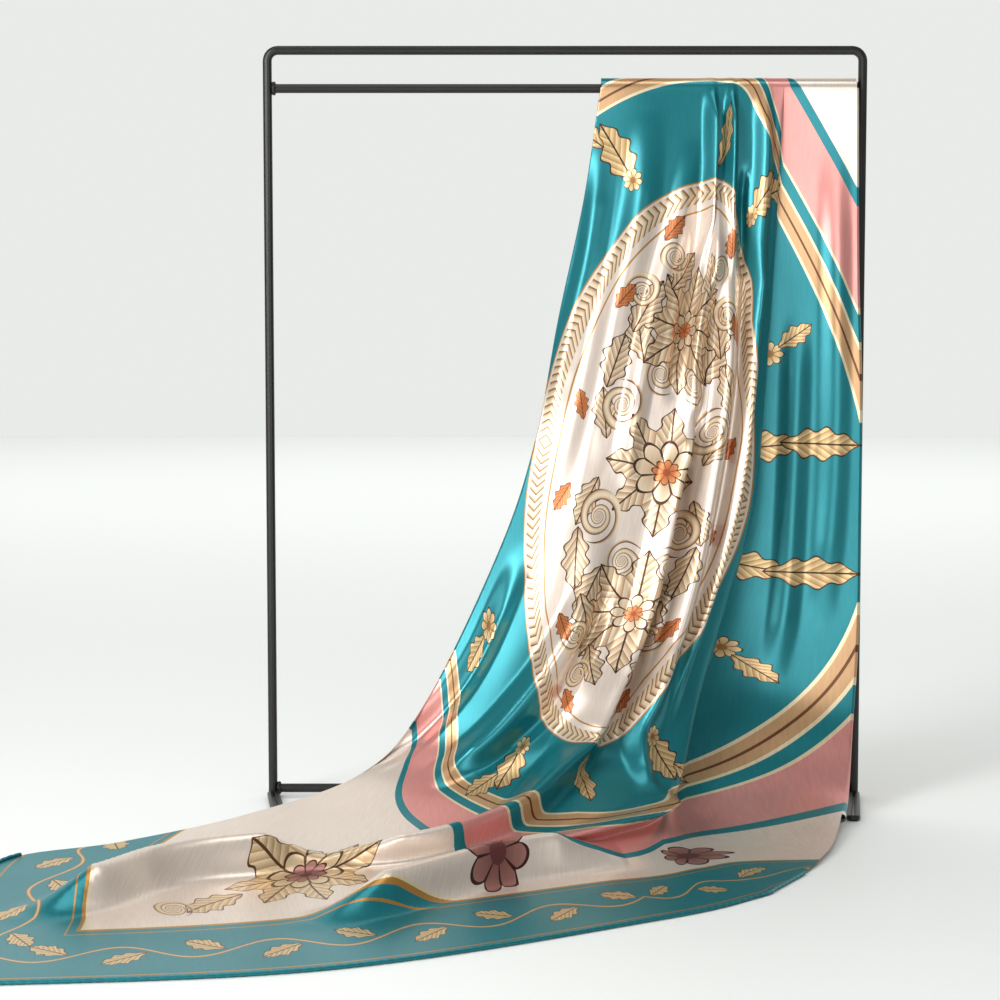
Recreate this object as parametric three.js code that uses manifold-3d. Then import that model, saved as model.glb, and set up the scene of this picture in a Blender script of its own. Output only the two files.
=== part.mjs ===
// A silk square scarf hung over the second bar of a free-standing wire rack, with its train laid
// out on the floor in front. Millimetres, +Z up, the viewer on the -Y side, the uprights at Y = 0.
import * as THREE from "three";
import Module from "manifold-3d";
import { mergeVertices } from "three/addons/utils/BufferGeometryUtils.js";

const wasm = await Module();
wasm.setup();

const RACK = {
  width: 400, // outside the uprights
  height: 503, // floor to the top of the top bar
  rod: 6, // diameter of the frame's steel wire
  bend: 10, // outer radius of the two top corners
  hangBar: 475, // height of the second bar's centre, which carries the scarf
  lowBar: 5.3, // height of the bottom crossbar's centre
  footWire: 4, // diameter of the feet's thinner wire
  footReach: 77, // how far a foot's front bend lies before the uprights
  footHalf: 2.7, // from the foot's middle to each of its two wires at the front
  heelHalf: 2.2, // the same at the heel
  toeIn: 11, // how far a foot leans inward at the front
  soleDrop: 0.15, // flattened off the underside of a foot
  gap: 0.3, // between welded pieces
};

const SCARF = {
  wall: 1.2, // thickness of every modelled layer
  gap: 0.3, // between stretches of cloth and between layers
  looser: 5, // how much further apart the layers are at the foot of the fall
  hemRoll: 2.2, // diameter of the rolled hem
  hemEase: 0.35, // more gap, for the hem's own bends
  backLeft: 277, // height of the back fall's hem at its left end
  backRight: 321, // and at its right end
};

const LAYER = SCARF.wall + SCARF.gap;
const SADDLE = RACK.rod / 2 + SCARF.gap + SCARF.wall / 2 + 2 * LAYER; // outer layer round the bar

const BLACK_COAT = new THREE.MeshStandardMaterial({ color: 0x2a2b27, roughness: 0.45, metalness: 0.3 });
const SATIN = new THREE.MeshStandardMaterial({ color: 0x1f8793, roughness: 0.35, metalness: 0 });
const SATIN_TRAIN = new THREE.MeshStandardMaterial({ color: 0xefe0d8, roughness: 0.35, metalness: 0 });
const HEM_THREAD = new THREE.MeshStandardMaterial({ color: 0x1c6a74, roughness: 0.6, metalness: 0 });

const mix = (a, b, f) => a + (b - a) * f;
const steps = (from, to, count) => Array.from({ length: count + 1 }, (_, i) => mix(from, to, i / count));

// A smooth cubic through evenly numbered rows of values, read at a fractional row.
function along(rows, at) {
  const last = rows.length - 1;
  const k = THREE.MathUtils.clamp(Math.floor(at), 0, last - 1);
  const f = at - k;
  const before = k > 0 ? rows[k - 1] : rows[0].map((value, c) => 2 * value - rows[1][c]);
  const after = k + 2 <= last ? rows[k + 2] : rows[last].map((value, c) => 2 * value - rows[last - 1][c]);
  return rows[k].map((value, c) => {
    const step = rows[k + 1][c] - value;
    const slopeIn = (rows[k + 1][c] - before[c]) / 2;
    const slopeOut = (after[c] - value) / 2;
    return value + f * (slopeIn + f * (3 * step - 2 * slopeIn - slopeOut + f * (slopeIn + slopeOut - 2 * step)));
  });
}

// The front sheet hangs on guide lines from the front of the bar to the bottom hem.
// Columns: x, y, z. Rows: twelve stations, the bar first and the bottom hem last.
const LEFT_EDGE = [
  [24, -6.9, 475], [13, -10, 402], [-4, -22, 323], [-19, -40, 245], [-42, -62, 176], [-89, -92, 81],
  [-130, -106, 37], [-200, -146, 19], [-272, -187, 11], [-337, -226, 8], [-342, -345, 2], [-344, -462, 0.6],
];
const LEFT_HALF = [
  [66, -6.9, 475], [51, -21, 391], [33, -38, 313], [16, -57, 236], [-5, -82, 161], [-38, -104, 86],
  [-68, -122, 44], [-96, -158, 22], [-128, -212, 10], [-155, -268, 4], [-146, -350, 2], [-134, -430, 0.6],
];
const CENTRE = [
  [108, -6.9, 475], [88, -22, 379], [68, -42, 304], [51, -60, 228], [33, -82, 152], [14, -101, 92],
  [2, -118, 53], [4, -158, 29], [10, -202, 14], [20, -236, 4], [31, -280, 2], [44, -330, 0.6],
];
const COLUMN_EDGE = [
  [141, -6.9, 475], [139, -20, 365], [133, -33, 280], [125, -44, 205], [107, -58, 140], [87, -78, 82],
  [72, -104, 42], [60, -146, 22], [56, -184, 11], [68, -212, 4], [84, -246, 2], [103, -281, 0.6],
];
const VALLEY = [
  [152, -6.9, 475], [148, -9, 360], [145, -12, 275], [140, -17, 198], [126, -28, 128], [108, -47, 70],
  [98, -80, 34], [90, -122, 13], [92, -158, 5], [98, -192, 3], [106, -226, 2], [116, -262, 0.6],
];
const RIGHT_FOLD = [
  [192.4, -6.9, 475], [193.5, -10, 356], [196, -12, 276], [196, -13, 196], [195, -18, 117], [190, -30, 52],
  [183, -64, 20], [173, -112, 8], [162, -160, 4], [152, -190, 3], [143, -211, 2], [136, -226, 0.6],
];
const GUIDES = [
  { share: 0, rows: LEFT_EDGE },
  { share: 0.25, rows: LEFT_HALF },
  { share: 0.5, rows: CENTRE },
  { share: 0.72, rows: COLUMN_EDGE },
  { share: 0.8, rows: VALLEY },
  { share: 1, rows: RIGHT_FOLD },
];
const STATIONS = CENTRE.length - 1;

// The two side thirds are folded in behind the front sheet: x, y, z of their free edges.
const LEFT_FLAP_EDGE = [
  [150, -5.4, 475], [152, -6, 362], [150, -7.5, 278], [146, -10, 196], [130, -17, 122], [92, -40, 62],
  [10, -70, 14], [-90, -104, 0.6], [-215, -160, 0.6], [-318, -216, 0.6],
];
const RIGHT_FLAP_EDGE = [
  [34, -3.9, 475], [32, -2, 392], [28, 0, 300], [26, 2, 225], [30, 1, 150], [50, -4, 78],
  [92, -26, 20], [142, -76, 0.6],
];

// The largest folds, as ridges and troughs laid along a path on the sheet.
// Reach is the half width and rise the height, below zero for a trough. Path columns: x, y, z.
const FOLDS = [
  { reach: 15, rise: 7, path: [[112, -8, 470], [106, -14, 415], [88, -30, 340], [72, -52, 262]] },
  { reach: 12, rise: -8, path: [[93, -24, 340], [83, -42, 280], [70, -60, 200], [58, -76, 160], [46, -92, 118]] },
  { reach: 18, rise: 7, path: [[120, -12, 430], [112, -30, 330], [98, -52, 240], [80, -70, 160], [62, -96, 96]] },
  {
    reach: 32,
    rise: 19,
    path: [[-7, -118, 54], [-31, -156, 36], [-60, -200, 20], [-96, -236, 10], [-128, -236, 8], [-170, -224, 8]],
  },
  {
    reach: 32,
    rise: 10,
    path: [[-150, -222, 9], [-205, -236, 9], [-250, -262, 7], [-290, -300, 5], [-335, -330, 3]],
  },
  {
    reach: 38,
    rise: 18,
    path: [[18, -212, 11], [-20, -226, 10], [-60, -256, 8], [-92, -290, 5], [-124, -335, 3], [-150, -390, 2]],
  },
];

// Distance from a point to a path, and how far along the path it falls, from 0 to 1.
function nearPath(point, path) {
  let best = { gap: Infinity, at: 0 };
  for (let i = 0; i < path.length - 1; i += 1) {
    const start = new THREE.Vector3(...path[i]);
    const span = new THREE.Vector3(...path[i + 1]).sub(start);
    const f = THREE.MathUtils.clamp(point.clone().sub(start).dot(span) / span.lengthSq(), 0, 1);
    const gap = start.addScaledVector(span, f).distanceTo(point);
    if (gap < best.gap) best = { gap, at: (i + f) / (path.length - 1) };
  }
  return best;
}

function foldRise(point) {
  let rise = 0;
  for (const fold of FOLDS) {
    const { gap, at } = nearPath(point, fold.path);
    const fade = Math.min(1, 0.15 + 5 * Math.min(at, 1 - at)); // a fold dies away over a fifth of its path
    if (gap < fold.reach) rise += fold.rise * fade * (0.5 + 0.5 * Math.cos((Math.PI * gap) / fold.reach));
  }
  return rise;
}

// A point of the smooth sheet: station 0 to STATIONS down its length, share 0 to 1 across it.
function smoothPoint(station, share) {
  const row = GUIDES.map((guide) => along(guide.rows, station));
  let k = 0;
  while (k < GUIDES.length - 2 && share > GUIDES[k + 1].share) k += 1;
  const f = (share - GUIDES[k].share) / (GUIDES[k + 1].share - GUIDES[k].share);
  return new THREE.Vector3(...along(row, k + f));
}

// Its normal, towards the viewer where it hangs and upward on the train.
function sheetNormal(station, share) {
  const step = 0.02;
  const down = smoothPoint(Math.min(station + step, STATIONS), share);
  down.sub(smoothPoint(Math.max(station - step, 0), share));
  const across = smoothPoint(station, Math.min(share + step, 1));
  across.sub(smoothPoint(station, Math.max(share - step, 0)));
  return down.cross(across).normalize();
}

// The front sheet with its folds, from the front of the bar to the hem.
function frontPoint(station, share) {
  const point = smoothPoint(station, share);
  const fade = Math.min(1, station / 0.6);
  return point.addScaledVector(sheetNormal(station, share), foldRise(point) * fade);
}

// A layer over the bar and down its back. Turn 0 is the front of the bar, 1 its back and 2 the hem.
function backPoint(turn, x, layer) {
  const radius = SADDLE - layer * LAYER;
  if (turn < 1) {
    const angle = Math.PI * turn;
    return new THREE.Vector3(x, -radius * Math.cos(angle), RACK.hangBar + radius * Math.sin(angle));
  }
  const [left, right] = [LEFT_EDGE[0][0], RIGHT_FOLD[0][0]];
  const foot = mix(SCARF.backLeft, SCARF.backRight, (x - left) / (right - left));
  return new THREE.Vector3(x, radius, mix(RACK.hangBar, foot, turn - 1));
}

// A side third, folded behind the sheet: from the sheet's edge to the third's own free edge.
function flapPoint(flap, station, reach) {
  const from = smoothPoint(station, flap.share);
  const inset = flap.layer * LAYER + (SCARF.looser * station) / STATIONS;
  from.addScaledVector(sheetNormal(station, flap.share), -inset);
  const to = new THREE.Vector3(...along(flap.edge, station));
  const slack = flap.slack * Math.min(1, station / 2) * Math.sin(Math.PI * reach);
  const point = from.lerp(to, reach);
  point.y += slack;
  return point;
}

// A closed wall through a grid of points, half its thickness to each side and never below the floor.
function wallThrough(grid) {
  const [rows, cols, half] = [grid.length, grid[0].length, SCARF.wall / 2];
  const near = (i, j) => grid[THREE.MathUtils.clamp(i, 0, rows - 1)][THREE.MathUtils.clamp(j, 0, cols - 1)];
  const outer = [];
  const inner = [];
  for (let i = 0; i < rows; i += 1) {
    for (let j = 0; j < cols; j += 1) {
      const down = near(i + 1, j).clone().sub(near(i - 1, j));
      const normal = down.cross(near(i, j + 1).clone().sub(near(i, j - 1))).normalize();
      const top = grid[i][j].clone().addScaledVector(normal, half);
      const under = grid[i][j].clone().addScaledVector(normal, -half);
      top.z = Math.max(top.z, normal.z > 0 ? SCARF.wall : 0);
      under.z = Math.max(under.z, normal.z > 0 ? 0 : SCARF.wall);
      outer.push(...top.toArray());
      inner.push(...under.toArray());
    }
  }
  const count = rows * cols;
  const id = (i, j) => i * cols + j;
  const faces = [];
  for (let i = 0; i < rows - 1; i += 1) {
    for (let j = 0; j < cols - 1; j += 1) {
      const [a, b, c, d] = [id(i, j), id(i + 1, j), id(i + 1, j + 1), id(i, j + 1)];
      faces.push(a, b, c, a, c, d);
      faces.push(count + a, count + c, count + b, count + a, count + d, count + c);
    }
  }
  const [lastRow, lastCol] = [rows - 1, cols - 1];
  const rim = [];
  for (let i = 0; i < lastRow; i += 1) rim.push([id(i + 1, 0), id(i, 0)], [id(i, lastCol), id(i + 1, lastCol)]);
  for (let j = 0; j < lastCol; j += 1) rim.push([id(0, j), id(0, j + 1)], [id(lastRow, j + 1), id(lastRow, j)]);
  for (const [a, b] of rim) faces.push(a, b, count + b, a, count + b, count + a);
  const geometry = new THREE.BufferGeometry();
  geometry.setAttribute("position", new THREE.Float32BufferAttribute([...outer, ...inner], 3));
  geometry.setIndex(faces);
  return geometry;
}

// A wire through its listed points: the sweep steps from each point to the next.
class WireLine extends THREE.Curve {
  constructor(points) {
    super();
    this.points = points;
  }

  getPointAt(u, target = new THREE.Vector3()) {
    const at = u * (this.points.length - 1);
    const k = Math.min(Math.floor(at + 1e-9), this.points.length - 2);
    return target.lerpVectors(this.points[k], this.points[k + 1], at - k);
  }

  getTangentAt(u, target = new THREE.Vector3()) {
    const k = Math.round(u * (this.points.length - 1));
    const next = this.points[Math.min(k + 1, this.points.length - 1)];
    return target.subVectors(next, this.points[Math.max(k - 1, 0)]).normalize();
  }
}

function sweep(points, width, height, sides) {
  const corners = steps(0, 2 * Math.PI, sides).slice(0, -1);
  const section = new THREE.Shape(
    corners.map((turn) => new THREE.Vector2((width / 2) * Math.cos(turn), (height / 2) * Math.sin(turn))),
  );
  const path = new WireLine(points);
  return new THREE.ExtrudeGeometry(section, { extrudePath: path, steps: points.length - 1, bevelEnabled: false });
}

function asSolid(geometry) {
  const bare = geometry.clone();
  bare.deleteAttribute("normal");
  bare.deleteAttribute("uv");
  const merged = mergeVertices(bare, 1e-4);
  return new wasm.Manifold(
    new wasm.Mesh({
      numProp: 3,
      vertProperties: new Float32Array(merged.attributes.position.array),
      triVerts: new Uint32Array(merged.index.array),
    }),
  );
}

function asGeometry(solid) {
  const { vertProperties, triVerts } = solid.getMesh();
  const geometry = new THREE.BufferGeometry();
  geometry.setAttribute("position", new THREE.BufferAttribute(vertProperties, 3));
  geometry.setIndex(new THREE.BufferAttribute(triVerts, 1));
  return geometry;
}

const group = new THREE.Group();
function add(name, geometry, material) {
  const mesh = new THREE.Mesh(geometry, material);
  mesh.name = name;
  group.add(mesh);
  return mesh;
}

// The outer frame is one length of wire bent into an upside-down U.
function outerFrame() {
  const half = (RACK.width - RACK.rod) / 2;
  const turn = RACK.bend - RACK.rod / 2;
  const top = RACK.height - RACK.rod / 2;
  const points = [new THREE.Vector3(-half, 0, 0)];
  for (const angle of steps(Math.PI, 0, 12)) {
    const side = angle > Math.PI / 2 + 1e-6 ? -1 : 1;
    const corner = (x) => new THREE.Vector3(x, 0, top - turn + turn * Math.sin(angle));
    points.push(corner(side * (half - turn) + turn * Math.cos(angle)));
    if (Math.abs(angle - Math.PI / 2) < 1e-6) points.splice(-1, 0, corner(-(half - turn)));
  }
  points.push(new THREE.Vector3(half, 0, 0));
  return sweep(points, RACK.rod, RACK.rod, 12);
}

function crossbar(height) {
  const length = RACK.width - 2 * RACK.rod - 2 * RACK.gap;
  const bar = new THREE.CylinderGeometry(RACK.rod / 2, RACK.rod / 2, length, 16);
  return bar.rotateZ(Math.PI / 2).translate(0, 0, height);
}

// Each foot is a hairpin of thinner wire, welded to the upright's front and flat on the floor.
// It leans inward, and its underside is filed flat.
function foot(side) {
  const middle = (RACK.width - RACK.rod) / 2;
  const height = RACK.footWire / 2 - RACK.soleDrop;
  const place = (across, forward) => {
    const lean = (RACK.toeIn * forward) / RACK.footReach;
    return new THREE.Vector3(side * (middle - lean) + across, -forward, height);
  };
  const heel = RACK.rod / 2 + RACK.gap;
  const bend = steps(Math.PI, 0, 8).map((turn) =>
    place(RACK.footHalf * Math.cos(turn), RACK.footReach + RACK.footHalf * Math.sin(turn)),
  );
  const points = [place(-RACK.heelHalf, heel), ...bend, place(RACK.heelHalf, heel)];
  const wire = asSolid(sweep(points, RACK.footWire, RACK.footWire, 10));
  const below = new THREE.BoxGeometry(2 * RACK.width, 2 * RACK.width, RACK.footWire);
  below.translate(0, 0, -RACK.footWire / 2);
  return asGeometry(wire.subtract(asSolid(below)));
}

add("rack_outer_frame", outerFrame(), BLACK_COAT);
add("rack_hanging_bar", crossbar(RACK.hangBar), BLACK_COAT);
add("rack_low_crossbar", crossbar(RACK.lowBar), BLACK_COAT);
add("rack_foot_left", foot(-1), BLACK_COAT);
add("rack_foot_right", foot(1), BLACK_COAT);

// The cloth's stretches. The front sheet ends, and the train begins, where it nears the floor.
const SPLIT = 5.4; // in stations
const SPLIT_GAP = SCARF.gap / 30; // in stations, which are 40 to 60 mm apart there
const frontShares = steps(0, 1, 26);
const trainShares = [...steps(0, 0.55, 34), ...steps(0.55, 1, 10).slice(1)]; // closer where the train is widest
const sheetGrid = (stations, shares) =>
  stations.map((station) => shares.map((share) => frontPoint(station, share)));
const frontGrid = sheetGrid(steps(0, SPLIT - SPLIT_GAP, 26), frontShares);
const trainGrid = sheetGrid(steps(SPLIT, STATIONS, 42), trainShares);
const SADDLE_GAP = (1.5 * SCARF.gap) / (Math.PI * SADDLE); // in half turns of the bar
const backGrid = [...steps(2, 1, 4), ...steps(1, 0, 8).slice(1, -1), SADDLE_GAP].map((turn) =>
  steps(0, 1, 8).map((share) => backPoint(turn, mix(LEFT_EDGE[0][0], RIGHT_FOLD[0][0], share), 0)),
);
add("scarf_back_fall", wallThrough(backGrid), SATIN);
add("scarf_front_fall", wallThrough(frontGrid), SATIN);
add("scarf_train", wallThrough(trainGrid), SATIN_TRAIN);

// Layer counts inward from the front sheet, slack is the third's own sag and last the station it
// ends at, where the square's slanting side meets the floor.
const LEFT_FLAP = { share: 0, layer: 1, edge: LEFT_FLAP_EDGE, slack: 0, last: 8.8 };
const RIGHT_FLAP = { share: 1, layer: 2, edge: RIGHT_FLAP_EDGE, slack: 6, last: 6.8 };
function flapGrid(flap, down, across) {
  const [from, to] = [along([LEFT_EDGE, RIGHT_FOLD][flap.share], 0)[0], flap.edge[0][0]];
  const reaches = flap.share === 0 ? steps(0, 1, across) : steps(1, 0, across);
  const over = [...steps(2, 1, 2), ...steps(1, 0, 8).slice(1, -1)];
  return [
    ...over.map((turn) => reaches.map((reach) => backPoint(turn, mix(from, to, reach), flap.layer))),
    ...steps(0, flap.last, down).map((station) => reaches.map((reach) => flapPoint(flap, station, reach))),
  ];
}
add("scarf_left_third", wallThrough(flapGrid(LEFT_FLAP, 24, 10)), SATIN);
add("scarf_right_third", wallThrough(flapGrid(RIGHT_FLAP, 20, 8)), SATIN);

// Rolled hems run along the cloth's cut edges, one gap out from the wall's rim.
function hemAlong(edge, inside) {
  const line = edge.map((point, i) => {
    const run = edge[Math.min(i + 1, edge.length - 1)].clone().sub(edge[Math.max(i - 1, 0)]).normalize();
    const away = point.clone().sub(inside[i]);
    away.addScaledVector(run, -away.dot(run)).normalize();
    const place = point.clone().addScaledVector(away, SCARF.gap + SCARF.hemRoll / 2 + SCARF.hemEase);
    place.z = Math.max(place.z, SCARF.hemRoll / 2);
    return place;
  });
  return sweep(line, SCARF.hemRoll, SCARF.hemRoll, 8);
}
const bareRows = trainGrid.slice(28); // beyond the folded third the train's left edge is the square's own
add("hem_left", hemAlong(bareRows.map((row) => row[0]), bareRows.map((row) => row[1])), HEM_THREAD);
add("hem_bottom", hemAlong(trainGrid.at(-1).slice(0, -1), trainGrid.at(-2)), HEM_THREAD);
add("hem_top", hemAlong(backGrid[0], backGrid[1]), HEM_THREAD);

const box = new THREE.Box3().setFromObject(group);
group.position.set(-(box.min.x + box.max.x) / 2, -(box.min.y + box.max.y) / 2, -box.min.z);

export default group;
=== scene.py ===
import math

import bpy
import numpy as np
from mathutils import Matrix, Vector


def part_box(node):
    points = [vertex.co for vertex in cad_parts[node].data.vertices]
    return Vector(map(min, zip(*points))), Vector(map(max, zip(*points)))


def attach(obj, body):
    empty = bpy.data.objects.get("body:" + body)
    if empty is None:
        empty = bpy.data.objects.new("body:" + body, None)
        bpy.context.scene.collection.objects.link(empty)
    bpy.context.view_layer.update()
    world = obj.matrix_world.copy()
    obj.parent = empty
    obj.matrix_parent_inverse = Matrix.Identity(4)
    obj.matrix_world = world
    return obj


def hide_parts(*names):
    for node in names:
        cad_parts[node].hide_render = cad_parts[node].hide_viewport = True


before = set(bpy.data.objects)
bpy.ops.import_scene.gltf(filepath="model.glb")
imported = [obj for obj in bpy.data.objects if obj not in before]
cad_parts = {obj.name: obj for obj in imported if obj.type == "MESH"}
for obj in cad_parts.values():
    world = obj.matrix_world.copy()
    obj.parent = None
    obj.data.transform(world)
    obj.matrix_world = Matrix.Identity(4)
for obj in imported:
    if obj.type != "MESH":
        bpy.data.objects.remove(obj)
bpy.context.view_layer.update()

# Camera, table top and studio light.
# The camera stands 1.67 m before the rack at 35 cm height with a 90 mm lens, and looks 5 degrees down.
# Places are in millimetres from the middle of the rack, at floor height, unless a line says metres.
low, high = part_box("rack_outer_frame")
RACK_MIDDLE = np.array([(low[0] + high[0]) / 2, (low[1] + high[1]) / 2, 0.0])


def to_model(points):
    return np.asarray(points, dtype=float) * 0.001 + RACK_MIDDLE


def linear(hex_colour):
    """The linear colour of an sRGB hex value, with full alpha."""
    parts = [int(hex_colour[i:i + 2], 16) / 255 for i in (1, 3, 5)]
    return tuple(c / 12.92 if c <= 0.04045 else ((c + 0.055) / 1.055) ** 2.4 for c in parts) + (1.0,)


def add(tree, kind, settings, inputs):
    """One node: its settings, then its inputs, each a value or another node's output."""
    made = tree.nodes.new("ShaderNode" + kind)
    for name, value in settings.items():
        setattr(made, name, value)
    for key, value in inputs.items():
        if isinstance(value, bpy.types.Node):
            value = value.outputs[0]
        if isinstance(value, bpy.types.NodeSocket):
            tree.links.new(value, made.inputs[key])
        else:
            made.inputs[key].default_value = value
    return made


def new_material(name):
    material = bpy.data.materials.new(name)
    material.use_nodes = True
    material.node_tree.nodes.clear()
    return material, material.node_tree


CAMERA_PLACE = (-43, -1673, 352)
CAMERA_DOWN_TILT = 5.14  # degrees
LENS, SENSOR = 90, 36
FARTHEST_SEEN = 50  # metres
camera_data = bpy.data.cameras.new("camera")
camera_data.lens = LENS
camera_data.sensor_width = SENSOR
camera_data.clip_end = FARTHEST_SEEN
camera = bpy.data.objects.new("camera", camera_data)
camera.location = to_model(CAMERA_PLACE)
camera.rotation_euler = (math.radians(90 - CAMERA_DOWN_TILT), 0, 0)
bpy.context.collection.objects.link(camera)
bpy.context.scene.camera = camera

# The table top is a matt laminate, which takes soft shadows and mirrors nothing sharply.
TABLE_REACH = 12.0  # metres, each way
table_mesh = bpy.data.meshes.new("table_top")
table_mesh.from_pydata(
    [(-TABLE_REACH, -TABLE_REACH, 0), (TABLE_REACH, -TABLE_REACH, 0),
     (TABLE_REACH, TABLE_REACH, 0), (-TABLE_REACH, TABLE_REACH, 0)], [], [(0, 1, 2, 3)])
table_top = bpy.data.objects.new("table_top", table_mesh)
bpy.context.collection.objects.link(table_top)
laminate, tree = new_material("matt_white_laminate")
surface = add(tree, "BsdfPrincipled", {}, {"Base Color": linear("#F1F3F0"), "Roughness": 0.55})
add(tree, "OutputMaterial", {}, {"Surface": surface})
table_mesh.materials.append(laminate)

# The room is pale and dim, and the white wall behind the table is lit evenly.
ROOM_COLOUR, ROOM_STRENGTH = "#E6EAEA", 0.19
WALL_COLOUR, WALL_STRENGTH = "#F2F4F1", 0.92
WALL_PLACE, WALL_HEIGHT = 4.0, 6.0  # metres
world = bpy.data.worlds.new("studio")
bpy.context.scene.world = world
world.use_nodes = True
world.node_tree.nodes.clear()
room = add(world.node_tree, "Background", {}, {"Color": linear(ROOM_COLOUR), "Strength": ROOM_STRENGTH})
add(world.node_tree, "OutputWorld", {}, {"Surface": room})
bpy.context.scene.view_settings.view_transform = "Standard"

wall_mesh = bpy.data.meshes.new("white_wall")
wall_mesh.from_pydata(
    [(-TABLE_REACH, WALL_PLACE, 0), (TABLE_REACH, WALL_PLACE, 0),
     (TABLE_REACH, WALL_PLACE, WALL_HEIGHT), (-TABLE_REACH, WALL_PLACE, WALL_HEIGHT)], [], [(0, 1, 2, 3)])
white_wall = bpy.data.objects.new("white_wall", wall_mesh)
bpy.context.collection.objects.link(white_wall)
lit_paint, tree = new_material("lit_white_wall_paint")
glow = add(tree, "Emission", {}, {"Color": linear(WALL_COLOUR), "Strength": WALL_STRENGTH})
add(tree, "OutputMaterial", {}, {"Surface": glow})
wall_mesh.materials.append(lit_paint)

# Softboxes. Columns: name, place and aim in mm, width and height in metres, watts.
SOFTBOXES = [
    ("window_left", (-1050, -1180, 760), (60, -100, 200), 0.5, 1.0, 20.0),
    ("front_window", (420, -2300, 520), (90, -100, 260), 1.3, 1.0, 13.0),
    ("overhead", (-100, -350, 1500), (60, -100, 200), 1.1, 0.5, 5.0),
    ("table_light", (0, 2300, 2300), (0, 2500, 0), 5.0, 2.2, 66.0),
]
for name, place, aim_place, width, height, watts in SOFTBOXES:
    lamp = bpy.data.lights.new(name, "AREA")
    lamp.shape = "RECTANGLE"
    lamp.size, lamp.size_y = width, height
    lamp.energy = watts
    softbox = bpy.data.objects.new(name, lamp)
    softbox.location = to_model(place)
    aim = Vector(to_model(aim_place)) - softbox.location
    softbox.rotation_euler = aim.to_track_quat("-Z", "Y").to_euler()
    softbox.visible_glossy = name != "table_light"
    bpy.context.collection.objects.link(softbox)

# The rack. Bright steel wire, bent, welded and powder-coated black. The coat is a baked polyester
# film: a fine orange peel breaks up its soft gloss, and it stands thin and browner on the bends.
PEEL_SCALE, CLOUD_SCALE = 900.0, 35.0  # lumps to the metre
powder_coat, tree = new_material("black_powder_coat_on_steel")
where = add(tree, "TexCoord", {}, {})
peel = add(tree, "TexNoise", {}, {"Vector": where.outputs["Object"], "Scale": PEEL_SCALE, "Detail": 2.0})
cloud = add(tree, "TexNoise", {}, {"Vector": where.outputs["Object"], "Scale": CLOUD_SCALE, "Detail": 3.0})
coat_colour = add(tree, "Mix", {"data_type": "RGBA"},
                  {0: cloud, 6: linear("#141513"), 7: linear("#22211F")})
gloss = add(tree, "MapRange", {}, {"Value": peel, "To Min": 0.34, "To Max": 0.48})
bump = add(tree, "Bump", {}, {"Strength": 0.12, "Distance": 0.0002, "Height": peel})
surface = add(tree, "BsdfPrincipled", {}, {
    "Base Color": coat_colour.outputs[2], "Roughness": gloss, "Normal": bump, "Specular IOR Level": 0.42,
})
add(tree, "OutputMaterial", {}, {"Surface": surface})
RODS = ("rack_outer_frame", "rack_hanging_bar", "rack_low_crossbar", "rack_foot_left", "rack_foot_right")
for node_name in RODS:
    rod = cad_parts[node_name]
    rod.data.materials.clear()
    rod.data.materials.append(powder_coat)

# The welds. Each bar end is joined to the frame by a small fillet weld run round it by hand, uneven
# and a little lumpy, with the black coat over it.
BEAD_RADIUS = 0.0011  # metres
STEPS_ROUND_BAR, STEPS_ROUND_BEAD = 48, 12
for bar in ("rack_hanging_bar", "rack_low_crossbar"):
    low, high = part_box(bar)
    bar_radius = (high[2] - low[2]) / 2
    for end, x, inwards in (("left", low[0], 1), ("right", high[0], -1)):
        around_bar = np.linspace(0, 2 * math.pi, STEPS_ROUND_BAR + 1)[:-1, None]
        around_bead = np.linspace(0, 2 * math.pi, STEPS_ROUND_BEAD + 1)[:-1][None]
        lumps = BEAD_RADIUS * (1 + 0.22 * np.sin(9 * around_bar) + 0.12 * np.sin(4 * around_bar + 1))
        ring_radius = bar_radius + 0.2 * BEAD_RADIUS + lumps * np.cos(around_bead)
        ring = np.stack([
            x + inwards * (0.8 * BEAD_RADIUS) + lumps * np.sin(around_bead),
            (low[1] + high[1]) / 2 + ring_radius * np.cos(around_bar),
            (low[2] + high[2]) / 2 + ring_radius * np.sin(around_bar)], axis=-1)
        place_of = np.arange(STEPS_ROUND_BAR * STEPS_ROUND_BEAD).reshape(STEPS_ROUND_BAR, STEPS_ROUND_BEAD)
        next_round, next_out = np.roll(place_of, -1, axis=0), np.roll(place_of, -1, axis=1)
        faces = np.stack([place_of, next_out, np.roll(next_round, -1, axis=1), next_round], axis=-1)
        bead_mesh = bpy.data.meshes.new("weld")
        bead_mesh.from_pydata(ring.reshape(-1, 3), [], faces.reshape(-1, 4).tolist())
        bead_mesh.polygons.foreach_set("use_smooth", [True] * place_of.size)
        bead_mesh.materials.append(powder_coat)
        weld = bpy.data.objects.new("weld_" + bar + "_" + end, bead_mesh)
        bpy.context.collection.objects.link(weld)
        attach(weld, "root")

# The scarf's cut and how it lies. One 900 mm square of printed satin hangs over the bar, its two
# sides folded in behind. Guide lines run down the cloth from the front of the bar to the hem.
CUT = 900.0
HANG_BAR = (0.0, 475.0)
SADDLE = 6.9  # from the bar's middle to the outermost layer
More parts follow.
